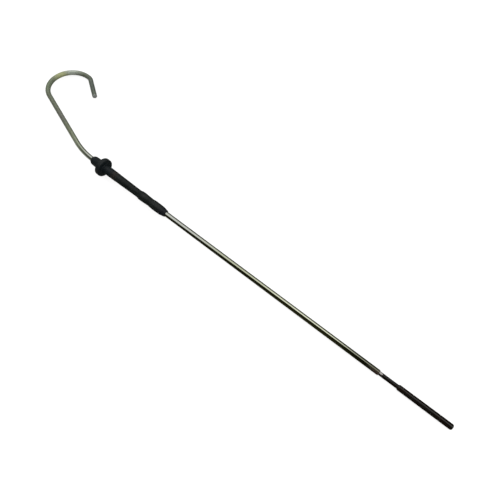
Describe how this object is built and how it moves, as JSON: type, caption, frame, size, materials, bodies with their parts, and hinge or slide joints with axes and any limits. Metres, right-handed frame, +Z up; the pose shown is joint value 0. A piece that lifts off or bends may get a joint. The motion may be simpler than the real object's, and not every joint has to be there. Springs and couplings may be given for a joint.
{
  "type": "engine oil dipstick",
  "caption": "Engine oil dipstick: a steel wire rod bent into a pull hook, with a rubber stopper whose flange and sealing lips plug the guide tube, and a slim plastic gauge tip.",
  "frame": {"origin": "on the floor under the centre of the whole part's box, with the part lying as it comes to rest", "axes": "+X along the rod towards the gauge tip, +Y to the side that the pull hook lies on, +Z up from the floor"},
  "size_m": [0.5143, 0.086, 0.0187],
  "materials": {
    "plated_wire": "aged yellow zinc plating with an olive tint, satin",
    "black_rubber": "matt, lightly worn",
    "tip_plastic": "matt, oil-stained brown black"
  },
  "bodies": {
    "root": {"rod": "plated_wire", "stopper": "black_rubber", "gauge_tip": "tip_plastic"}
  },
  "joints": []
}
